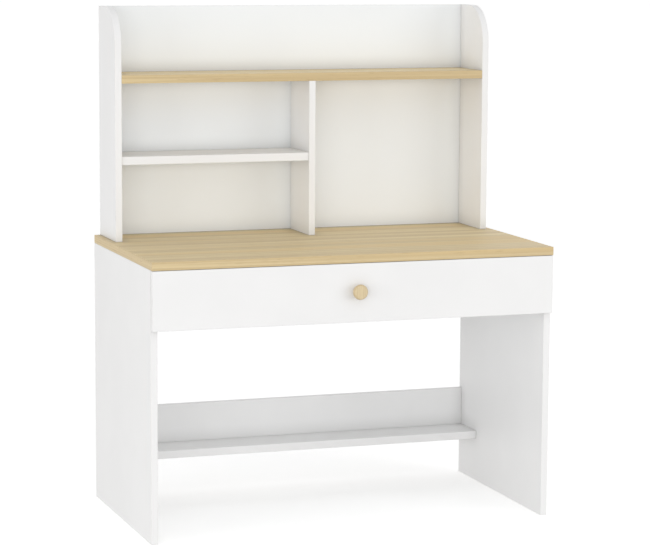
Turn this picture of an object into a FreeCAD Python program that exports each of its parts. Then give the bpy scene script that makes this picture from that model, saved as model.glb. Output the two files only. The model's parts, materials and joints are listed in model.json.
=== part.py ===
import FreeCAD, Part
import math
import os

# Student desk with hutch, made of flat boards. Two leg panels carry an oak-look top, a wide drawer runs
# under it on roller runners, and a shelved hutch stands along the back edge. Millimetres, +Z up,
# +Y towards the back, origin on the floor under the middle of the whole outline.

# Overall sizes
desk_width = 1100.0
desk_depth = 600.0
desk_height = 730.0
hutch_height = 622.0
hutch_depth = 175.0
hutch_inset = 16.0

# Boards
top_thickness = 22.0
upright_thickness = 18.0
shelf_thickness = 22.0
edge_radius = 0.8
rail_thickness = 18.0
rail_height = 120.0

# Modesty panel and foot shelf, low at the back
modesty_thickness = 15.0
modesty_top = 250.0
foot_shelf_top = 144.0
foot_shelf_depth = 115.0

# Hutch
hutch_corner_radius = 100.0
upper_shelf_rise = 444.0
small_shelf_rise = 227.0
small_shelf_setback = 3.0
left_bay_width = 525.0
back_thickness = 5.0
back_setback = 8.0
back_groove_depth = 6.0
back_groove_play = 0.8

# Drawer
front_thickness = 15.0
front_height = 154.0
front_top_gap = 1.0
front_end_gap = 1.0
front_leg_gap = 0.5
box_rise = 22.0
box_back_gap = 67.0
box_side_thickness = 15.0
box_side_height = 100.0
box_bottom_thickness = 5.0
box_bottom_rise = 10.0
box_groove_depth = 6.0
brace_width = 60.0

# Knob, turned in oak
knob_projection = 26.0
knob_radius = 20.0
knob_face_radius = 16.0
knob_rim_bottom = 12.0
knob_neck_radius = 9.0
knob_neck_height = 6.0
knob_base_radius = 11.0
knob_rise = 4.5

# Roller runners
runner_gap = 12.5
runner_sheet = 1.2
runner_overlap = 125.0
runner_setback = 2.0
runner_seat = 5.0
runner_flange = 13.0
runner_side_gap = 1.0
runner_headroom = 1.0
runner_nose_gap = 1.5
runner_screw_inset = 60.0
stop_bump_radius = 3.0
stop_bump_gap = 0.5
roller_radius = 9.5
roller_width = 6.5
roller_chamfer = 0.6
roller_recess = 1.0
roller_recess_inner = 5.0
roller_recess_outer = 7.5
roller_inset = 14.0
roller_gap = 0.3
pin_radius = 2.5
pin_tail_radius = 2.0
pin_collar_radius = 4.0
pin_head_length = 1.0
pin_side_gap = 0.2
pin_bore_gap = 0.05

# Cam locks and their bolts
cam_radius = 7.5
cam_floor = 4.5
cam_setback = 24.0
cam_slot_length = 9.0
cam_slot_width = 1.6
cam_slot_depth = 2.0
bolt_thread_radius = 3.0
bolt_thread_length = 11.0
bolt_tip_length = 1.5
bolt_shank_radius = 2.2
bolt_head_radius = 3.4
bolt_head_length = 4.0

# Dowels
dowel_radius = 4.0
dowel_length = 30.0
dowel_in_face = 11.0
dowel_chamfer = 1.0
brace_dowel_radius = 3.0

# Screws: long connectors through the top, chipboard screws, and fine ones in the back panel
connector_length = 50.0
connector_radius = 3.2
connector_head_radius = 5.0
chip_screw_length = 40.0
chip_screw_radius = 1.8
chip_head_radius = 3.8
runner_screw_length = 13.0
runner_screw_radius = 1.5
runner_head_radius = 3.2
back_screw_length = 20.0
back_screw_radius = 1.4
back_head_radius = 3.0
back_head_height = 1.6
knob_screw_radius = 2.0
knob_screw_reach = 14.0
knob_screw_head_radius = 4.0
knob_screw_head_height = 2.4

# Places of the fasteners along the boards
leg_fastener_inset = 80.0
leg_dowel_spacing = 60.0
rail_fastener_inset = 35.0
modesty_fastener_inset = 32.0
foot_shelf_fastener_inset = 32.0
foot_shelf_dowel_inset = 150.0
shelf_fastener_inset = 35.0
divider_dowel_inset = 45.0
connector_inset = 40.0
box_fastener_inset = 28.0
back_screw_inset = 120.0
divider_screw_inset = 100.0

# Fits: board joints, grooves and fastener holes
fit_gap = 0.1
overrun = 5.0

FULL_TURN = 360.0
SIDES = {"left": -1, "right": 1}

X = FreeCAD.Vector(1, 0, 0)
Y = FreeCAD.Vector(0, 1, 0)
Z = FreeCAD.Vector(0, 0, 1)

# Planes that the boards share
x_end = desk_width / 2
x_leg_in = x_end - upright_thickness
x_leg_mid = x_end - upright_thickness / 2
y_front = (knob_projection - desk_depth) / 2
y_back = y_front + desk_depth
y_leg_front = y_front + front_thickness + front_leg_gap
z_under = desk_height - top_thickness
y_modesty_front = y_back - modesty_thickness
z_foot_under = foot_shelf_top - shelf_thickness

x_hutch = x_end - hutch_inset
x_hutch_in = x_hutch - upright_thickness
y_hutch_front = y_back - hutch_depth
y_panel_back = y_back - back_setback
y_panel_front = y_panel_back - back_thickness
z_hutch_top = desk_height + hutch_height
z_upper = desk_height + upper_shelf_rise
z_upper_under = z_upper - shelf_thickness
z_small = desk_height + small_shelf_rise
x_divider = -x_hutch_in + left_bay_width
x_divider_mid = x_divider + upright_thickness / 2

z_front_top = z_under - front_top_gap
z_front_bottom = z_front_top - front_height
y_box_front = y_front + front_thickness
y_box_back = y_back - rail_thickness - box_back_gap
x_box_out = x_leg_in - runner_gap
x_box_in = x_box_out - box_side_thickness
x_box_mid = x_box_out - box_side_thickness / 2
z_box_bottom = z_front_bottom + box_rise
z_box_top = z_box_bottom + box_side_height
z_tray = z_box_bottom + box_bottom_rise
z_brace_mid = z_box_bottom + box_bottom_rise / 2

# The runners are as long as the drawer's sides, and keep an overlap when the drawer is out
runner_length = y_box_back - y_box_front
drawer_travel = runner_length - runner_overlap

# Heights inside the runner, and the rollers' axes
z_runner = z_box_bottom - runner_seat
z_ceiling = z_runner + runner_sheet + roller_gap + roller_radius * 2 + runner_headroom
z_runner_top = z_ceiling + runner_sheet
z_lip_top = z_ceiling - runner_headroom
z_lip_under = z_lip_top - runner_sheet
z_front_axis = z_lip_under - roller_gap - roller_radius
z_rear_axis = z_runner + runner_sheet + roller_gap + roller_radius
y_runner = y_leg_front + runner_setback
y_front_axis = y_runner + roller_inset
y_rear_axis = y_box_front + runner_length - roller_inset
x_roller_mid = x_leg_in - runner_gap / 2

# Every node's solids, and what is drilled or grooved out of each board
pieces = {}
cuts = {}


def add(node, *solids):
    """Puts solids into a node."""
    pieces.setdefault(node, []).extend(solids)


def cut(node, *tools):
    """Notes tools that are later cut from a node."""
    cuts.setdefault(node, []).extend(tools)


def point(x, y, z):
    return FreeCAD.Vector(x, y, z)


def box(x_range, y_range, z_range):
    """A plain box between three pairs of planes, given in either order."""
    lows = [min(r) for r in (x_range, y_range, z_range)]
    lengths = [max(r) - min(r) for r in (x_range, y_range, z_range)]
    return Part.makeBox(*lengths, point(*lows))


def ease(solid, *butted):
    """Rounds a board's edges, but for those round the named faces, which butt against another board."""
    bounds = solid.BoundBox
    planes = {
        "left": (X, bounds.XMin),
        "right": (X, bounds.XMax),
        "front": (Y, bounds.YMin),
        "back": (Y, bounds.YMax),
        "under": (Z, bounds.ZMin),
        "top": (Z, bounds.ZMax),
    }

    def is_free(edge):
        return all(abs(edge.CenterOfMass.dot(planes[name][0]) - planes[name][1]) > edge_radius
                   for name in butted)

    return solid.makeFillet(edge_radius, [edge for edge in solid.Edges if is_free(edge)])


def board(x_range, y_range, z_range, *butted):
    return ease(box(x_range, y_range, z_range), *butted)


def turned(outline, start, axis):
    """A solid of revolution from (distance along the axis, radius) pairs, closed on its axis."""
    first, last = outline[0][0], outline[-1][0]
    loop = [(first, 0), *outline, (last, 0), (first, 0)]
    face = Part.Face(Part.makePolygon([point(r, 0, d) for d, r in loop]))
    solid = face.revolve(point(0, 0, 0), Z, FULL_TURN)
    solid.Placement = FreeCAD.Placement(start, FreeCAD.Rotation(Z, axis))
    return solid


def rod(radius, start, axis, length):
    return Part.makeCylinder(radius, length, start, axis)


def block(centre, size):
    """A box about its centre; size holds its lengths along X, Y and Z."""
    lengths = [abs(s) for s in size]
    return Part.makeBox(*lengths, centre - point(*lengths) / 2)


# Fasteners

def cam_joint(group, end_board, face_board, seam, inward, cam_side, thickness):
    """A cam lock and its bolt. The bolt is screwed into face_board, and the cam in end_board pulls it in.
    seam lies on the joint's plane, halfway through the end board, and inward points into that board."""
    cam_height = thickness / 2 + cam_floor
    centre = seam + inward * cam_setback
    mouth = centre + cam_side * (thickness / 2)
    across = inward.cross(cam_side)
    cam = rod(cam_radius, mouth, -cam_side, cam_height)
    pocket = rod(bolt_head_radius + fit_gap, centre + inward * bolt_head_length, -inward, cam_setback)
    slots = [
        block(mouth, length + width + cam_side * cam_slot_depth * 2)
        for length, width in (
            (inward * cam_slot_length, across * cam_slot_width),
            (across * cam_slot_length, inward * cam_slot_width),
        )
    ]
    add(group + "_cam_locks", cam.cut([pocket, *slots]))

    shank_end = bolt_thread_length + cam_setback - bolt_head_length / 2
    bolt_end = shank_end + bolt_head_length
    outline = [
        (0, bolt_shank_radius),
        (bolt_tip_length, bolt_thread_radius),
        (bolt_thread_length, bolt_thread_radius),
        (bolt_thread_length, bolt_shank_radius),
        (shank_end, bolt_shank_radius),
        (shank_end, bolt_head_radius),
        (bolt_end, bolt_head_radius),
    ]
    add(group + "_cam_bolts", turned(outline, seam - inward * bolt_thread_length, inward))

    cut(face_board, rod(bolt_thread_radius + fit_gap, seam + inward * overrun, -inward,
                        bolt_thread_length + overrun + fit_gap))
    cut(end_board, rod(bolt_head_radius + fit_gap, seam - inward * overrun, inward, cam_setback + overrun))
    cut(end_board, rod(cam_radius + fit_gap, mouth + cam_side * overrun, -cam_side,
                       cam_height + overrun + fit_gap))


def dowel_joint(group, end_board, face_board, seam, inward, radius=dowel_radius):
    """A plain dowel across a joint, set less deep in the face than in the end."""
    start = seam - inward * dowel_in_face
    outline = [
        (0, radius - dowel_chamfer),
        (dowel_chamfer, radius),
        (dowel_length - dowel_chamfer, radius),
        (dowel_length, radius - dowel_chamfer),
    ]
    add(group + "_dowels", turned(outline, start, inward))
    hole = rod(radius + fit_gap, start - inward * fit_gap, inward, dowel_length + fit_gap * 2)
    cut(end_board, hole)
    cut(face_board, hole)


def sunk_screw(group, boards, head, inward, length, radius, head_radius):
    """A countersunk screw whose head lies flush at the point named head."""
    cone = head_radius - radius
    outline = [(0, head_radius), (cone, radius), (length - radius, radius), (length, radius / 2)]
    add(group, turned(outline, head, inward))
    grown = [
        (-overrun, head_radius + fit_gap),
        (0, head_radius + fit_gap),
        (cone, radius + fit_gap),
        (length + fit_gap, radius + fit_gap),
    ]
    for name in boards:
        cut(name, turned(grown, head, inward))


def pan_screw(group, boards, seat, inward, length, radius, head_radius, head_height):
    """A screw whose round head stands on the surface at seat."""
    outline = [
        (-head_height, head_radius / 2),
        (-head_height / 2, head_radius),
        (0, head_radius),
        (0, radius),
        (length, radius),
    ]
    add(group, turned(outline, seat, inward))
    for name in boards:
        cut(name, rod(radius + fit_gap, seat - inward * overrun, inward, length + overrun + fit_gap))


# Desk

def make_desk_boards():
    add("tabletop", board((-x_end, x_end), (y_front, y_back), (z_under, desk_height)))
    for side, sign in SIDES.items():
        add(side + "_leg_panel", board((sign * x_end, sign * x_leg_in), (y_leg_front, y_back), (0, z_under),
                                       "top"))
    across = (-x_leg_in, x_leg_in)
    add("rear_rail", board(across, (y_back - rail_thickness, y_back), (z_under - rail_height, z_under),
                           "left", "right", "top"))
    add("modesty_panel", board(across, (y_modesty_front, y_back), (z_foot_under, modesty_top)))
    add("foot_shelf", board(across, (y_modesty_front - foot_shelf_depth, y_modesty_front),
                            (z_foot_under, foot_shelf_top)))


def join_desk():
    """Cam locks and dowels that hold the top, the rail and the low shelf to the leg panels."""
    for side, sign in SIDES.items():
        leg = side + "_leg_panel"
        inwards = X * -sign
        for y, step in ((y_leg_front + leg_fastener_inset, 1), (y_back - leg_fastener_inset, -1)):
            cam_joint("desk", leg, "tabletop", point(sign * x_leg_mid, y, z_under), -Z, inwards,
                      upright_thickness)
            dowel_joint("desk", leg, "tabletop",
                        point(sign * x_leg_mid, y + step * leg_dowel_spacing, z_under), -Z)

        y_rail = y_back - rail_thickness / 2
        cam_joint("desk", "rear_rail", leg, point(sign * x_leg_in, y_rail, z_under - rail_fastener_inset),
                  inwards, -Y, rail_thickness)
        dowel_joint("desk", "rear_rail", leg,
                    point(sign * x_leg_in, y_rail, z_under - rail_height + rail_fastener_inset), inwards)

        y_modesty = y_back - modesty_thickness / 2
        cam_joint("desk", "modesty_panel", leg,
                  point(sign * x_leg_in, y_modesty, modesty_top - modesty_fastener_inset),
                  inwards, Y, modesty_thickness)
        dowel_joint("desk", "modesty_panel", leg,
                    point(sign * x_leg_in, y_modesty, z_foot_under + modesty_fastener_inset), inwards)

        z_shelf = foot_shelf_top - shelf_thickness / 2
        y_shelf_front = y_modesty_front - foot_shelf_depth
        cam_joint("desk", "foot_shelf", leg,
                  point(sign * x_leg_in, y_shelf_front + foot_shelf_fastener_inset, z_shelf),
                  inwards, -Z, shelf_thickness)
        dowel_joint("desk", "foot_shelf", leg,
                    point(sign * x_leg_in, y_modesty_front - foot_shelf_fastener_inset, z_shelf), inwards)
        dowel_joint("desk", "foot_shelf", "modesty_panel",
                    point(sign * (x_leg_in - foot_shelf_dowel_inset), y_modesty_front, z_shelf), -Y)


# Hutch

def hutch_side(sign):
    """An upright with a rounded top front corner and a groove for the back panel."""
    radius = hutch_corner_radius
    slack = radius - radius * math.sqrt(0.5)
    low_front = point(sign * x_hutch, y_hutch_front, desk_height)
    arc_low = point(sign * x_hutch, y_hutch_front, z_hutch_top - radius)
    arc_mid = point(sign * x_hutch, y_hutch_front + slack, z_hutch_top - slack)
    arc_high = point(sign * x_hutch, y_hutch_front + radius, z_hutch_top)
    high_back = point(sign * x_hutch, y_back, z_hutch_top)
    low_back = point(sign * x_hutch, y_back, desk_height)
    curves = [
        Part.LineSegment(low_front, arc_low),
        Part.Arc(arc_low, arc_mid, arc_high),
        Part.LineSegment(arc_high, high_back),
        Part.LineSegment(high_back, low_back),
        Part.LineSegment(low_back, low_front),
    ]
    face = Part.Face(Part.Wire([c.toShape() for c in curves]))
    solid = ease(face.extrude(X * (-sign * upright_thickness)))
    groove = box((sign * (x_hutch_in - overrun), sign * (x_hutch_in + back_groove_depth)),
                 (y_panel_front - back_groove_play, y_panel_back + fit_gap),
                 (desk_height - overrun, z_hutch_top + overrun))
    return solid.cut(groove)


def make_hutch_boards():
    for side, sign in SIDES.items():
        add(f"hutch_{side}_side", hutch_side(sign))
    deep = (y_hutch_front, y_panel_front)
    add("hutch_upper_shelf", board((-x_hutch_in, x_hutch_in), deep, (z_upper_under, z_upper)))
    add("hutch_divider", board((x_divider, x_divider + upright_thickness), deep,
                               (desk_height, z_upper_under), "top"))
    add("hutch_small_shelf", board((-x_hutch_in, x_divider),
                                   (y_hutch_front + small_shelf_setback, y_panel_front),
                                   (z_small - shelf_thickness, z_small)))
    x_panel = x_hutch_in + back_groove_depth - fit_gap
    add("hutch_back_panel", board((-x_panel, x_panel), (y_panel_front, y_panel_back),
                                  (desk_height, z_hutch_top)))


def join_hutch():
    """Shelf fittings, connectors up through the top, and screws through the back panel."""
    y_ends = (y_hutch_front + shelf_fastener_inset, y_panel_front - shelf_fastener_inset)
    y_mid = (y_hutch_front + y_panel_front) / 2
    z_shelf = z_upper - shelf_thickness / 2
    z_low_shelf = z_small - shelf_thickness / 2
    for side, sign in SIDES.items():
        upright = f"hutch_{side}_side"
        inwards = X * -sign
        for y in y_ends:
            cam_joint("hutch", "hutch_upper_shelf", upright, point(sign * x_hutch_in, y, z_shelf),
                      inwards, -Z, shelf_thickness)
        dowel_joint("hutch", "hutch_upper_shelf", upright, point(sign * x_hutch_in, y_mid, z_shelf), inwards)

    for upright, x, inwards in (("hutch_left_side", -x_hutch_in, X), ("hutch_divider", x_divider, -X)):
        cam_joint("hutch", "hutch_small_shelf", upright, point(x, y_ends[0], z_low_shelf), inwards, -Z,
                  shelf_thickness)
        dowel_joint("hutch", "hutch_small_shelf", upright, point(x, y_ends[1], z_low_shelf), inwards)

    for y in (y_hutch_front + divider_dowel_inset, y_panel_front - divider_dowel_inset):
        dowel_joint("hutch", "hutch_divider", "hutch_upper_shelf", point(x_divider_mid, y, z_upper_under), -Z)

    uprights = (
        ("hutch_left_side", -x_hutch + upright_thickness / 2),
        ("hutch_divider", x_divider_mid),
        ("hutch_right_side", x_hutch - upright_thickness / 2),
    )
    for upright, x in uprights:
        for y in (y_hutch_front + connector_inset, y_panel_front - connector_inset):
            sunk_screw("hutch_connector_screws", ("tabletop", upright), point(x, y, z_under), Z,
                       connector_length, connector_radius, connector_head_radius)

    shelf_places = [
        ("hutch_upper_shelf", -x_hutch_in + back_screw_inset, z_shelf),
        ("hutch_upper_shelf", x_hutch_in - back_screw_inset, z_shelf),
        ("hutch_small_shelf", -x_hutch_in + back_screw_inset, z_low_shelf),
        ("hutch_small_shelf", x_divider - back_screw_inset, z_low_shelf),
        ("hutch_divider", x_divider_mid, desk_height + divider_screw_inset),
        ("hutch_divider", x_divider_mid, z_upper_under - divider_screw_inset),
    ]
    for name, x, z in shelf_places:
        pan_screw("back_panel_screws", ("hutch_back_panel", name), point(x, y_panel_back, z), -Y,
                  back_screw_length, back_screw_radius, back_head_radius, back_head_height)


# Drawer

def make_drawer_boards():
    add("drawer_front", board((-x_end + front_end_gap, x_end - front_end_gap), (y_front, y_box_front),
                              (z_front_bottom, z_front_top)))
    high = (z_box_bottom, z_box_top)
    for side, sign in SIDES.items():
        add(f"drawer_{side}_side", board((sign * x_box_out, sign * x_box_in),
                                         (y_box_front, y_box_back), high, "front"))
    y_back_front = y_box_back - box_side_thickness
    add("drawer_back", board((-x_box_in, x_box_in), (y_back_front, y_box_back), high, "left", "right"))
    add("drawer_brace", board((-brace_width / 2, brace_width / 2), (y_box_front, y_back_front),
                              (z_box_bottom, z_tray), "front", "back", "top"))

    reach = box_groove_depth - fit_gap
    tray_top = z_tray + box_bottom_thickness
    add("drawer_bottom", box((-x_box_in - reach, x_box_in + reach),
                             (y_box_front - reach, y_back_front + reach), (z_tray, tray_top)))
    groove = box((-x_box_in - box_groove_depth, x_box_in + box_groove_depth),
                 (y_box_front - box_groove_depth, y_back_front + box_groove_depth),
                 (z_tray - fit_gap, tray_top + fit_gap))
    for name in ("drawer_front", "drawer_left_side", "drawer_right_side", "drawer_back"):
        cut(name, groove)


def join_drawer():
    z_places = (z_box_bottom + box_fastener_inset, z_box_top - box_fastener_inset)
    for side, sign in SIDES.items():
        name = f"drawer_{side}_side"
        for z in z_places:
            cam_joint("drawer", name, "drawer_front", point(sign * x_box_mid, y_box_front, z), Y, X * -sign,
                      box_side_thickness)
            sunk_screw("drawer_screws", (name, "drawer_back"),
                       point(sign * x_box_out, y_box_back - box_side_thickness / 2, z), X * -sign,
                       chip_screw_length, chip_screw_radius, chip_head_radius)
    sunk_screw("drawer_screws", ("drawer_back", "drawer_brace"), point(0, y_box_back, z_brace_mid), -Y,
               chip_screw_length, chip_screw_radius, chip_head_radius)
    dowel_joint("drawer", "drawer_brace", "drawer_front", point(0, y_box_front, z_brace_mid), Y,
                brace_dowel_radius)


def make_knob():
    """A turned knob: a flared foot, a waisted neck and a flat disc with a rounded rim."""
    z_knob = (z_front_bottom + z_front_top) / 2 + knob_rise
    rim_mid = (knob_rim_bottom + knob_projection) / 2

    def at(radius, height):
        return point(radius, 0, height)

    curves = [
        Part.LineSegment(at(0, 0), at(knob_base_radius, 0)),
        Part.Arc(at(knob_base_radius, 0), at(knob_neck_radius, knob_neck_height / 2),
                 at(knob_base_radius, knob_neck_height)),
        Part.LineSegment(at(knob_base_radius, knob_neck_height), at(knob_face_radius, knob_rim_bottom)),
        Part.Arc(at(knob_face_radius, knob_rim_bottom), at(knob_radius, rim_mid),
                 at(knob_face_radius, knob_projection)),
        Part.LineSegment(at(knob_face_radius, knob_projection), at(0, knob_projection)),
        Part.LineSegment(at(0, knob_projection), at(0, 0)),
    ]
    face = Part.Face(Part.Wire([c.toShape() for c in curves]))
    knob = face.revolve(point(0, 0, 0), Z, FULL_TURN)
    knob.Placement = FreeCAD.Placement(point(0, y_front, z_knob), FreeCAD.Rotation(Z, -Y))
    add("knob", knob)
    pan_screw("knob_screw", ("drawer_front", "knob"), point(0, y_box_front, z_knob), -Y,
              front_thickness + knob_screw_reach, knob_screw_radius, knob_screw_head_radius,
              knob_screw_head_height)


# Roller runners

def profile(sign, outline, y_start, length):
    """A sheet-metal section of (distance from the leg panel, height) points, drawn along Y."""
    corners = [point(sign * (x_leg_in - d), y_start, z) for d, z in outline]
    return Part.Face(Part.makePolygon([*corners, corners[0]])).extrude(Y * length)


def cabinet_runner(sign):
    """A channel open towards the drawer, cut away under its front roller, with a stop for the rear one."""
    sheet = runner_sheet
    reach = runner_gap - sheet - runner_side_gap
    floor = z_runner + sheet
    outline = [
        (0, z_runner),
        (reach, z_runner),
        (reach, floor),
        (sheet, floor),
        (sheet, z_ceiling),
        (reach, z_ceiling),
        (reach, z_runner_top),
        (0, z_runner_top),
    ]
    channel = profile(sign, outline, y_runner, runner_length)
    nose = box((sign * (x_leg_in - sheet), sign * (x_leg_in - runner_gap)),
               (y_runner - overrun, y_front_axis + roller_radius + runner_nose_gap),
               (z_runner - overrun, floor + overrun))
    meet = roller_radius + stop_bump_radius + stop_bump_gap
    drop = z_rear_axis - floor
    y_bump = y_rear_axis - drawer_travel - math.sqrt(meet ** 2 - drop ** 2)
    bump = rod(stop_bump_radius, point(sign * (x_leg_in - sheet), y_bump, floor), X * -sign, reach - sheet)
    below = box((sign * x_leg_in, sign * (x_leg_in - runner_gap)),
                (y_bump - stop_bump_radius, y_bump + stop_bump_radius), (floor, floor - stop_bump_radius))
    return channel.cut(nose).fuse(bump.cut(below)).removeSplitter()


def drawer_runner(sign):
    """An angle under the drawer side, with a lip that rolls on the cabinet's front roller."""
    sheet = runner_sheet
    lip_edge = sheet + runner_side_gap
    web = runner_gap - sheet
    seat_under = z_box_bottom - sheet
    outline = [
        (lip_edge, z_lip_under),
        (web, z_lip_under),
        (web, seat_under),
        (runner_gap + runner_flange, seat_under),
        (runner_gap + runner_flange, z_box_bottom),
        (runner_gap, z_box_bottom),
        (runner_gap, z_lip_top),
        (lip_edge, z_lip_top),
    ]
    angle = profile(sign, outline, y_box_front, runner_length)
    tail = box((sign * x_leg_in, sign * (x_leg_in - web)),
               (y_rear_axis - roller_radius - runner_nose_gap, y_box_front + runner_length + overrun),
               (z_lip_under - overrun, z_lip_top + overrun))
    return angle.cut(tail)


def roller(centre):
    """A nylon wheel on an X axis, with a recessed web on both faces."""
    half = roller_width / 2
    bore = pin_radius + pin_bore_gap
    half_section = [
        (0, bore),
        (half, bore),
        (half, roller_recess_inner),
        (half - roller_recess, roller_recess_inner),
        (half - roller_recess, roller_recess_outer),
        (half, roller_recess_outer),
        (half, roller_radius - roller_chamfer),
        (half - roller_chamfer, roller_radius),
    ]
    mirrored = [(-d, r) for d, r in reversed(half_section[1:])]
    corners = [point(r, 0, d) for d, r in [*half_section[1:], *mirrored]]
    wheel = Part.Face(Part.makePolygon([*corners, corners[0]])).revolve(point(0, 0, 0), Z, FULL_TURN)
    wheel.Placement = FreeCAD.Placement(centre, FreeCAD.Rotation(Z, X))
    return wheel


def roller_pin(web_face, inward):
    """A rivet: its tail fills the hole in the sheet, and its collar and head keep the roller in place."""
    collar = (runner_gap - runner_sheet * 2 - roller_width) / 2 - pin_side_gap
    shank_end = collar + roller_width + pin_side_gap * 2
    outline = [
        (-runner_sheet, pin_tail_radius),
        (0, pin_tail_radius),
        (0, pin_collar_radius),
        (collar, pin_collar_radius),
        (collar, pin_radius),
        (shank_end, pin_radius),
        (shank_end, pin_collar_radius),
        (shank_end + pin_head_length, pin_collar_radius),
    ]
    return turned(outline, web_face, inward)


def make_runners():
    for side, sign in SIDES.items():
        inwards = X * -sign
        fixed, moving = side + "_cabinet_runner", side + "_drawer_runner"
        add(fixed, cabinet_runner(sign))
        add(moving, drawer_runner(sign))

        front_centre = point(sign * x_roller_mid, y_front_axis, z_front_axis)
        rear_centre = point(sign * x_roller_mid, y_rear_axis, z_rear_axis)
        add(side + "_front_roller", roller(front_centre))
        add(side + "_rear_roller", roller(rear_centre))
        half_space = runner_gap / 2 - runner_sheet
        front_web = front_centre - inwards * half_space
        rear_web = rear_centre + inwards * half_space
        add(side + "_front_roller_pin", roller_pin(front_web, inwards))
        add(side + "_rear_roller_pin", roller_pin(rear_web, -inwards))
        hole = pin_tail_radius + pin_bore_gap
        cut(fixed, rod(hole, front_web - inwards * overrun, inwards, overrun * 2))
        cut(moving, rod(hole, rear_web + inwards * overrun, -inwards, overrun * 2))

        z_web = (z_runner + z_runner_top) / 2
        z_screw = (z_box_bottom + z_lip_under) / 2
        screw = (runner_screw_length, runner_screw_radius, runner_head_radius)
        spans = (runner_screw_inset, runner_length / 2, runner_length - runner_screw_inset)
        for span in spans:
            fixed_head = point(sign * (x_leg_in - runner_sheet), y_runner + span, z_web)
            sunk_screw("cabinet_runner_screws", (fixed, side + "_leg_panel"), fixed_head, -inwards, *screw)
            moving_head = point(sign * (x_box_out + runner_sheet), y_box_front + span, z_screw)
            sunk_screw("drawer_runner_screws", (moving, f"drawer_{side}_side"), moving_head, inwards, *screw)


def export():
    """Cuts each node's holes and grooves, and writes one file per node."""
    os.makedirs("parts", exist_ok=True)
    for node, solids in pieces.items():
        shapes = [s.cut(cuts[node]) for s in solids] if node in cuts else solids
        shape = shapes[0] if len(shapes) == 1 else Part.makeCompound(shapes)
        shape.exportStep(f"parts/{node}.step")
        print(node, len(shape.Solids), round(shape.Volume), shape.isValid())


make_desk_boards()
make_hutch_boards()
make_drawer_boards()
make_knob()
make_runners()
join_desk()
join_hutch()
join_drawer()
export()
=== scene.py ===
import json
import math
import bpy
from mathutils import Matrix, Vector


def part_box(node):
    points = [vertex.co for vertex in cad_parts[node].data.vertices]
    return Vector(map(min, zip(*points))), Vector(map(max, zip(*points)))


# Student desk with hutch: materials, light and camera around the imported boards, in metres.

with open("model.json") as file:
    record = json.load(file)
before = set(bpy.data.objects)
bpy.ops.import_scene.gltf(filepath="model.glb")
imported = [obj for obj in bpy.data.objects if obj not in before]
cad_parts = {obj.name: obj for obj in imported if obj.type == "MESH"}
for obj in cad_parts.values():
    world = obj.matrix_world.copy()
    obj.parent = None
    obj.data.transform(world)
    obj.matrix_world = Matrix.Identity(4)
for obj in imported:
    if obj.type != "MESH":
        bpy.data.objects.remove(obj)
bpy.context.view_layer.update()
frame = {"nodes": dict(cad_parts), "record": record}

# Camera, from a perspective fit to the corners of the desk in the photograph
IMAGE_WIDTH_PX = 650
FOCAL_PX = 2490.4
SENSOR_WIDTH_MM = 36.0
CAMERA_PLACE = Vector((-2.1677, -6.2721, 1.5569))
CAMERA_YAW = math.radians(19.138)
CAMERA_PITCH = math.radians(7.889)
CAMERA_ROLL = math.radians(0.338)

# Light: levels are the brightness that each source gives a white surface square to it at the desk
AMBIENT_LEVEL = 0.75
FLOOR_LEVEL = 0.61
LAMP_AIM = Vector((0, 0, 0.7))
SOFTBOXES = {
    "left": {"place": (-3.8, -1.5, 0.8), "size": (2.0, 1.2), "level": 0.13},
    "front": {"place": (-2.2, -4.7, 1.1), "size": (3.0, 1.6), "level": 0.19},
    "right": {"place": (2.8, -2.8, 1.0), "size": (2.0, 1.2), "level": 0.14},
}

# Power of an area lamp that gives a white surface one metre away a level of 1, in watts
LAMP_WATTS = math.pi ** 2

# Floor: its reach, its place just under the feet, the paper's value where it is seen, high enough to show as
# white in this light, and the colour of the light that it gives the desk
FLOOR_HALF_SIZE = 120.0
FLOOR_DROP = 0.0002
FLOOR_SEEN = 1.36
FLOOR_GLOW = (1.0, 0.985, 0.965, 1.0)

PLAIN_WHITE = (1.0, 1.0, 1.0, 1.0)
WORLD_UP = Vector((0, 0, 1))
X_AXIS = 0
Y_AXIS = 1
Z_AXIS = 2


def tone(red, green, blue):
    """A linear colour from the 0 to 255 sRGB values that it shows as."""
    def linear(value):
        share = value / 255
        return share / 12.92 if share <= 0.04045 else ((share + 0.055) / 1.055) ** 2.4

    return (linear(red), linear(green), linear(blue), 1.0)


# Colours
OAK_PALE = tone(235, 217, 175)
OAK_DARK = tone(207, 184, 140)
OAK_WARM = tone(230, 203, 147)
OAK_PORE = tone(168, 140, 100)
WHITE = tone(244, 244, 244)
WHITE_SHADE = tone(242, 242, 242)
EDGE_SEAM = tone(205, 203, 198)
LACQUER = tone(249, 252, 254)
LACQUER_SHADE = tone(247, 250, 252)
# Colour of the painted shade and painted dark line in inner corners
PAINTED_CORNER_SHADE = tone(70, 64, 56)
KNOB_PALE = tone(224, 206, 168)
KNOB_DARK = tone(204, 182, 142)
ENAMEL = tone(232, 231, 226)
ENAMEL_SHADE = tone(224, 222, 216)
NYLON = tone(226, 225, 219)
NYLON_SHADE = tone(214, 212, 204)
ZINC_PALE = tone(196, 197, 196)
ZINC_DARK = tone(158, 158, 155)
BEECH_PALE = tone(212, 176, 132)
BEECH_DARK = tone(176, 134, 90)

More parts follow.
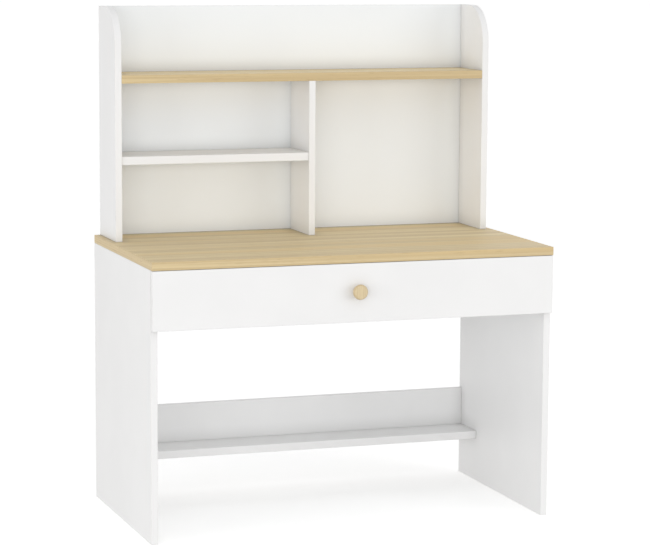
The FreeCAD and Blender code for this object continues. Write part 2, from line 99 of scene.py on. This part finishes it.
# How long each pattern's features are along X, Y and Z
OAK_DRIFT = (0.6, 0.33, 0.33)
OAK_BANDS = (2.8, 0.040, 0.016)
OAK_LINES = (1.5, 0.016, 0.006)
OAK_STREAKS = (2.5, 0.100, 0.066)
OAK_FIBRES = (0.33, 0.0031, 0.0031)
OAK_PORES = (0.045, 0.0012, 0.0012)
MELAMINE_CLOUDS = (0.2, 0.2, 0.2)
MELAMINE_PEARL = (0.0007, 0.0007, 0.0007)
MELAMINE_SMEARS = (0.11, 0.11, 0.06)
LACQUER_CLOUDS = (0.25, 0.25, 0.25)
LACQUER_STIPPLE = (0.0011, 0.0011, 0.0011)
KNOB_RINGS = (0.0038, 0.011, 0.12)
KNOB_FIBRES = (0.0011, 0.0014, 0.033)
ENAMEL_PEEL = (0.0024, 0.0024, 0.0024)
ENAMEL_SCUFFS = (0.0038, 0.11, 0.0038)
NYLON_FLOW = (0.011, 0.0042, 0.0042)
NYLON_GRAIN = (0.00045, 0.00045, 0.00045)
ZINC_CLOUDS = (0.006, 0.006, 0.006)
ZINC_GRAIN = (0.0004, 0.0004, 0.0004)
BEECH_FLECKS = (0.0019, 0.0019, 0.0019)
BEECH_CLOUDS = (0.017, 0.017, 0.017)

# Heights of the relief
OAK_RELIEF = 0.00006
MELAMINE_RELIEF = 0.00003
LACQUER_RELIEF = 0.00004
KNOB_RELIEF = 0.00004
ENAMEL_RELIEF = 0.00004
NYLON_RELIEF = 0.00002
ZINC_RELIEF = 0.00002
BEECH_RELIEF = 0.00005

# Height of the oak's fibres against the depth of its pores, and how far its grain sways to the side
OAK_FIBRE_SHARE = 0.5
OAK_SWAY = 0.012

# Along a board's edges: the thickness of the edge band, its seam, and where rubbing starts to fade and ends
EDGE_BAND = 0.0010
SEAM_HALF_WIDTH = 0.00015
RUB_START = 0.0003
RUB_END = 0.0020

# How far the painted soft shade and the painted dark line reach out of inner corners, and the samples that
# find them
PAINTED_SHADE_REACH = 0.040
PAINTED_LINE_REACH = 0.005
CORNER_SAMPLES = 6

# Moves each board's pattern by so many times its own place, so that no two boards share one
PATTERN_SHIFT = 8.1


class Surface:
    """The node tree of a material or the world, with short ways to add nodes and join them."""

    def __init__(self, owner):
        owner.use_nodes = True
        self.owner = owner
        self.tree = owner.node_tree
        self.tree.nodes.clear()
        coordinates = self.add("TexCoord", {})
        self.place = coordinates.outputs["Object"]
        self.normal = coordinates.outputs["Normal"]
        self.direction = coordinates.outputs["Generated"]

    def add(self, kind, inputs, **options):
        """A node with its inputs joined to sockets or set to values."""
        node = self.tree.nodes.new("ShaderNode" + kind)
        for name, value in options.items():
            setattr(node, name, value)
        for key, value in inputs.items():
            if isinstance(value, bpy.types.NodeSocket):
                self.tree.links.new(value, node.inputs[key])
            else:
                node.inputs[key].default_value = value
        return node

    def math(self, operation, *values):
        return self.add("Math", dict(enumerate(values)), operation=operation).outputs[0]

    def invert(self, value):
        return self.math("SUBTRACT", 1.0, value)

    def parts(self, vector):
        return self.add("SeparateXYZ", {0: vector}).outputs

    def join(self, x, y, z):
        return self.add("CombineXYZ", {0: x, 1: y, 2: z}).outputs[0]

    def shift(self, vector, offset):
        return self.add("VectorMath", {0: vector, 1: offset}, operation="ADD").outputs[0]

    def mix(self, share, first, second):
        return self.add("MixRGB", {"Fac": share, "Color1": first, "Color2": second}).outputs[0]

    def tint(self, color, other, where, share):
        """Takes a colour the given share of the way to another one where the mask is 1."""
        return self.mix(self.math("MULTIPLY", where, share), color, other)

    def between(self, value, low, high):
        """0 up to low, 1 from high on, and smooth between them."""
        inputs = {"Value": value, "From Min": low, "From Max": high}
        return self.add("MapRange", inputs, interpolation_type="SMOOTHSTEP").outputs[0]

    def facing(self, axis, low, high):
        """1 where the normal's part along an axis is high, on faces square to it, and 0 where it is low."""
        return self.between(self.math("ABSOLUTE", self.parts(self.normal)[axis]), low, high)

    def range(self, value, low, high):
        """Spreads a 0 to 1 value from low to high."""
        return self.add("MapRange", {"Value": value, "To Min": low, "To Max": high}).outputs[0]

    def noise(self, vector, lengths, detail=2.0, roughness=0.5):
        """Noise whose features have the given lengths along X, Y and Z."""
        per_metre = [1 / length for length in lengths]
        scaled = self.add("Mapping", {"Vector": vector, "Scale": per_metre}).outputs[0]
        inputs = {"Vector": scaled, "Scale": 1.0, "Detail": detail, "Roughness": roughness}
        return self.add("TexNoise", inputs).outputs[0]

    def paint_corner_shade(self, color, wide_shade, line_shade):
        """Paints shade into a colour towards inner corners by the given shares: a wide soft painted shade and
        a narrow painted dark line.
        """
        for reach, share in ((PAINTED_SHADE_REACH, wide_shade), (PAINTED_LINE_REACH, line_shade)):
            corner = self.add("AmbientOcclusion", {"Distance": reach}, samples=CORNER_SAMPLES)
            color = self.tint(color, PAINTED_CORNER_SHADE, self.invert(corner.outputs["AO"]), share)
        return color

    def bump(self, height, relief):
        """Relief of so many metres from a 0 to 1 height."""
        return self.add("Bump", {"Height": height, "Strength": 1.0, "Distance": relief}).outputs[0]

    def finish(self, color, roughness, relief, **constants):
        """Joins a shader to the output. Constants go on its own sockets, named with _ for each space."""
        inputs = {"Base Color": color, "Roughness": roughness, "Normal": relief}
        inputs.update({name.replace("_", " "): value for name, value in constants.items()})
        shader = self.add("BsdfPrincipled", inputs)
        self.add("OutputMaterial", {"Surface": shader.outputs[0]})
        return self.owner


def own_pattern(surface, corners):
    """The board's coordinates, moved so that its pattern is its own."""
    low, high = corners
    return surface.shift(surface.place, (low + high) * PATTERN_SHIFT)


def edge_distance(surface, corners):
    """Distance to a board's nearest edge: the middle one of the distances to its three pairs of faces."""
    low, high = corners
    spans = []
    for axis, place in enumerate(surface.parts(surface.place)):
        from_low = surface.math("SUBTRACT", place, low[axis])
        from_high = surface.math("SUBTRACT", high[axis], place)
        spans.append(surface.math("MINIMUM", from_low, from_high))
    nearer = surface.math("MINIMUM", spans[0], spans[1])
    further = surface.math("MAXIMUM", spans[0], spans[1])
    return surface.math("MAXIMUM", nearer, surface.math("MINIMUM", further, spans[2]))


def band_seam(surface, edge):
    """A hairline where the edge band meets the face, a band's thickness from the edge."""
    offset = surface.math("ABSOLUTE", surface.math("SUBTRACT", edge, EDGE_BAND))
    return surface.invert(surface.between(offset, low=SEAM_HALF_WIDTH / 2, high=SEAM_HALF_WIDTH))


def rubbed_edge(surface, edge):
    """1 at the very edge, fading out over the width that gets rubbed."""
    return surface.invert(surface.between(edge, low=RUB_START, high=RUB_END))


def oak_board(name, corners):
    """Oak-look foil: straight grain along the board, pale and dark bands, warm streaks and short pores.
    The edge bands are darker with stronger lines, and on the two ends the grain follows the band."""
    s = Surface(bpy.data.materials.new(name))
    x, y, z = s.parts(own_pattern(s, corners))
    on_end = s.facing(X_AXIS, low=0.6, high=0.8)
    on_edge = s.invert(s.facing(Z_AXIS, low=0.6, high=0.8))
    along = s.mix(on_end, s.join(x, y, z), s.join(y, x, z))
    drift = s.noise(along, OAK_DRIFT, detail=1.0)
    grain = s.shift(along, s.join(0.0, s.range(drift, low=-OAK_SWAY, high=OAK_SWAY), 0.0))

    bands = s.between(s.noise(grain, OAK_BANDS, detail=1.5), low=0.38, high=0.62)
    lines = s.between(s.noise(grain, OAK_LINES, detail=3.0), low=0.42, high=0.60)
    streaks = s.between(s.noise(grain, OAK_STREAKS), low=0.52, high=0.66)
    fibres = s.noise(grain, OAK_FIBRES, detail=4.0, roughness=0.6)
    pores = s.between(s.noise(grain, OAK_PORES, detail=1.0), low=0.64, high=0.74)
    edge = edge_distance(s, corners)

    color = s.tint(OAK_PALE, OAK_DARK, bands, share=0.60)
    color = s.tint(color, OAK_DARK, on_edge, share=0.50)
    color = s.tint(color, OAK_PORE, s.math("MULTIPLY", on_edge, lines), share=0.28)
    color = s.tint(color, OAK_DARK, lines, share=0.45)
    color = s.tint(color, OAK_WARM, streaks, share=0.60)
    color = s.tint(color, OAK_DARK, s.between(fibres, low=0.50, high=0.75), share=0.25)
    color = s.tint(color, OAK_PORE, pores, share=0.45)
    color = s.tint(color, OAK_PORE, band_seam(s, edge), share=0.35)
    color = s.tint(color, OAK_PALE, rubbed_edge(s, edge), share=0.18)
    # Painted shade: darker towards inner corners, with a painted dark line in them
    color = s.paint_corner_shade(color, wide_shade=0.55, line_shade=0.40)

    height = s.math("SUBTRACT", s.math("MULTIPLY", fibres, OAK_FIBRE_SHARE), pores)
    roughness = s.range(s.math("MAXIMUM", fibres, pores), low=0.40, high=0.58)
    return s.finish(color, roughness, s.bump(height, OAK_RELIEF), Specular_IOR_Level=0.35)


def white_board(name, corners):
    """White melamine: a fine pearl grain, faint clouds, a seam along the edge band and rubbed edges."""
    s = Surface(bpy.data.materials.new(name))
    place = own_pattern(s, corners)
    clouds = s.noise(place, MELAMINE_CLOUDS, detail=3.0)
    pearl = s.noise(place, MELAMINE_PEARL)
    smears = s.noise(place, MELAMINE_SMEARS, detail=4.0, roughness=0.65)
    edge = edge_distance(s, corners)
    worn = s.math("MULTIPLY", rubbed_edge(s, edge), s.between(smears, low=0.45, high=0.70))

    color = s.mix(s.between(clouds, low=0.35, high=0.65), WHITE, WHITE_SHADE)
    color = s.tint(color, EDGE_SEAM, band_seam(s, edge), share=0.4)
    color = s.tint(color, EDGE_SEAM, worn, share=0.3)
    # Painted shade: darker towards inner corners, with a painted dark line in them
    color = s.paint_corner_shade(color, wide_shade=0.25, line_shade=0.10)
    roughness = s.range(smears, low=0.36, high=0.52)
    return s.finish(color, roughness, s.bump(pearl, MELAMINE_RELIEF), Specular_IOR_Level=0.35)


def white_hardboard(name, corners):
    """Thin board under white lacquer: faint clouds and the stipple of a roller, with its edges rubbed."""
    s = Surface(bpy.data.materials.new(name))
    place = own_pattern(s, corners)
    clouds = s.noise(place, LACQUER_CLOUDS, detail=3.0)
    stipple = s.noise(place, LACQUER_STIPPLE)
    color = s.mix(s.between(clouds, low=0.35, high=0.65), LACQUER, LACQUER_SHADE)
    color = s.tint(color, EDGE_SEAM, rubbed_edge(s, edge_distance(s, corners)), share=0.2)
    # Painted shade: darker towards inner corners, with a painted dark line in them
    color = s.paint_corner_shade(color, wide_shade=0.22, line_shade=0.10)
    roughness = s.range(clouds, low=0.38, high=0.55)
    return s.finish(color, roughness, s.bump(stipple, LACQUER_RELIEF), Specular_IOR_Level=0.3)


def knob_wood(name, corners):
    """Turned light wood under clear lacquer, with the grain upright on the face and a darker rim."""
    s = Surface(bpy.data.materials.new(name))
    place = own_pattern(s, corners)
    rings = s.noise(place, KNOB_RINGS, detail=3.0)
    fibres = s.noise(place, KNOB_FIBRES, detail=3.0, roughness=0.6)
    rim = s.invert(s.facing(Y_AXIS, low=0.4, high=0.98))
    color = s.tint(KNOB_PALE, KNOB_DARK, s.between(rings, low=0.35, high=0.65), share=0.5)
    color = s.tint(color, OAK_PORE, s.between(fibres, low=0.50, high=0.70), share=0.2)
    color = s.tint(color, KNOB_DARK, rim, share=0.7)
    roughness = s.range(fibres, low=0.32, high=0.50)
    return s.finish(color, roughness, s.bump(fibres, KNOB_RELIEF), Specular_IOR_Level=0.4)


def runner_enamel(name, corners):
    """White baked enamel on folded steel, with orange peel and grey scuffs along the track."""
    s = Surface(bpy.data.materials.new(name))
    place = own_pattern(s, corners)
    peel = s.noise(place, ENAMEL_PEEL)
    scuffs = s.noise(place, ENAMEL_SCUFFS, detail=4.0, roughness=0.6)
    color = s.mix(s.between(peel, low=0.30, high=0.70), ENAMEL, ENAMEL_SHADE)
    color = s.tint(color, ZINC_PALE, s.between(scuffs, low=0.60, high=0.75), share=0.35)
    roughness = s.range(scuffs, low=0.28, high=0.50)
    return s.finish(color, roughness, s.bump(peel, ENAMEL_RELIEF))


def roller_nylon(name, corners):
    """Moulded nylon with faint flow marks and a duller tread."""
    s = Surface(bpy.data.materials.new(name))
    place = own_pattern(s, corners)
    flow = s.noise(place, NYLON_FLOW, detail=3.0)
    grain = s.noise(place, NYLON_GRAIN, detail=1.0)
    tread = s.invert(s.facing(X_AXIS, low=0.3, high=0.7))
    color = s.mix(s.between(flow, low=0.35, high=0.65), NYLON, NYLON_SHADE)
    color = s.tint(color, NYLON_SHADE, tread, share=0.5)
    roughness = s.range(s.math("MAXIMUM", tread, flow), low=0.38, high=0.60)
    return s.finish(color, roughness, s.bump(grain, NYLON_RELIEF), Subsurface_Weight=0.05)


def zinc_steel(name, corners):
    """Bright zinc plate with a cloudy grain."""
    s = Surface(bpy.data.materials.new(name))
    place = own_pattern(s, corners)
    clouds = s.noise(place, ZINC_CLOUDS, detail=4.0, roughness=0.6)
    grain = s.noise(place, ZINC_GRAIN)
    color = s.mix(s.between(clouds, low=0.35, high=0.65), ZINC_PALE, ZINC_DARK)
    roughness = s.range(clouds, low=0.28, high=0.48)
    return s.finish(color, roughness, s.bump(grain, ZINC_RELIEF), Metallic=1.0)


def beech_dowel(name, corners):
    """Plain beech with short brown flecks."""
    s = Surface(bpy.data.materials.new(name))
    place = own_pattern(s, corners)
    flecks = s.noise(place, BEECH_FLECKS, detail=3.0, roughness=0.65)
    clouds = s.noise(place, BEECH_CLOUDS)
    color = s.mix(s.between(clouds, low=0.35, high=0.65), BEECH_PALE, BEECH_DARK)
    color = s.tint(color, BEECH_DARK, s.between(flecks, low=0.58, high=0.70), share=0.5)
    roughness = s.range(flecks, low=0.55, high=0.75)
    return s.finish(color, roughness, s.bump(flecks, BEECH_RELIEF))


MATERIALS = {
    "oak_board": oak_board,
    "white_board": white_board,
    "white_hardboard": white_hardboard,
    "knob_wood": knob_wood,
    "runner_enamel": runner_enamel,
    "roller_nylon": roller_nylon,
    "zinc_steel": zinc_steel,
    "beech_dowel": beech_dowel,
}


def dress_nodes():
    """Gives each board, fitting and fastener a material of its own, made for its slot and its place."""
    for subpart in frame["record"]["subparts"]:
        node = subpart["node"]
        make = MATERIALS[subpart["material_slot"]]
        material = make(node + "_finish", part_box(node))
        for slot in frame["nodes"][node].material_slots:
            slot.material = material


def seen_share(surface):
    """1 for what the camera, a mirror or a pane shows, and 0 for light on its way."""
    rays = surface.add("LightPath", {}).outputs
    share = rays["Is Camera Ray"]
    for kind in ("Is Glossy Ray", "Is Transmission Ray"):
        share = surface.math("MAXIMUM", share, rays[kind])
    return share


def make_floor():
    """A wide white floor that keeps the desk's shadow, and is clear from below.
    It casts no shadow, so the painted corner shade on the desk does not darken next to it."""
    half = FLOOR_HALF_SIZE
    corners = [(-half, -half, 0), (half, -half, 0), (half, half, 0), (-half, half, 0)]
    mesh = bpy.data.meshes.new("floor")
    mesh.from_pydata(corners, [], [(0, 1, 2, 3)])
    floor = bpy.data.objects.new("floor", mesh)
    floor.location.z = -FLOOR_DROP
    floor.visible_shadow = False
    bpy.context.scene.collection.objects.link(floor)

    s = Surface(bpy.data.materials.new("floor_paper"))
    glow = s.add("Emission", {"Color": FLOOR_GLOW, "Strength": FLOOR_LEVEL})
    paper = s.add("BsdfDiffuse", {"Color": (FLOOR_SEEN, FLOOR_SEEN, FLOOR_SEEN, 1.0)})
    top_side = s.add("MixShader", {0: seen_share(s), 1: glow.outputs[0], 2: paper.outputs[0]})
    from_below = s.add("NewGeometry", {}).outputs["Backfacing"]
    clear = s.add("BsdfTransparent", {})
    shader = s.add("MixShader", {0: from_below, 1: top_side.outputs[0], 2: clear.outputs[0]})
    s.add("OutputMaterial", {"Surface": shader.outputs[0]})
    mesh.materials.append(s.owner)


def make_world():
    """Even light from all of the sky, seen as plain white."""
    s = Surface(bpy.data.worlds.new("studio"))
    is_sky = s.math("GREATER_THAN", s.parts(s.direction)[Z_AXIS], 0.0)
    level = s.math("MULTIPLY", is_sky, AMBIENT_LEVEL)
    light = s.add("Background", {"Color": PLAIN_WHITE, "Strength": level})
    white = s.add("Background", {"Color": PLAIN_WHITE, "Strength": 1.0})
    shader = s.add("MixShader", {0: seen_share(s), 1: light.outputs[0], 2: white.outputs[0]})
    s.add("OutputWorld", {"Surface": shader.outputs[0]})
    bpy.context.scene.world = s.owner


def make_softboxes():
    """Wide soft lamps to the left, in front and to the right, aimed at the middle of the desk."""
    for name, softbox in SOFTBOXES.items():
        lamp = bpy.data.lights.new(name, "AREA")
        lamp.shape = "RECTANGLE"
        lamp.size, lamp.size_y = softbox["size"]
        place = Vector(softbox["place"])
        away = place - LAMP_AIM
        lamp.energy = softbox["level"] * LAMP_WATTS * away.length_squared
        holder = bpy.data.objects.new(name, lamp)
        holder.location = place
        holder.rotation_mode = "QUATERNION"
        holder.rotation_quaternion = away.to_track_quat("Z", "Y")
        holder.visible_camera = False
        bpy.context.scene.collection.objects.link(holder)


def make_camera():
    """The photograph's camera, turned to the right, tipped down and rolled a little."""
    forward = Vector((
        math.sin(CAMERA_YAW) * math.cos(CAMERA_PITCH),
        math.cos(CAMERA_YAW) * math.cos(CAMERA_PITCH),
        -math.sin(CAMERA_PITCH),
    ))
    right = forward.cross(WORLD_UP).normalized()
    up = right.cross(forward)
    rolled_right = right * math.cos(CAMERA_ROLL) + up * math.sin(CAMERA_ROLL)
    rolled_up = up * math.cos(CAMERA_ROLL) - right * math.sin(CAMERA_ROLL)
    lens = bpy.data.cameras.new("camera")
    lens.sensor_width = SENSOR_WIDTH_MM
    lens.lens = FOCAL_PX * SENSOR_WIDTH_MM / IMAGE_WIDTH_PX
    camera = bpy.data.objects.new("camera", lens)
    turn = Matrix((rolled_right, rolled_up, -forward)).transposed().to_4x4()
    camera.matrix_world = Matrix.Translation(CAMERA_PLACE) @ turn
    bpy.context.scene.collection.objects.link(camera)
    bpy.context.scene.camera = camera


dress_nodes()
make_floor()
make_world()
make_softboxes()
make_camera()
bpy.context.scene.view_settings.view_transform = "Standard"
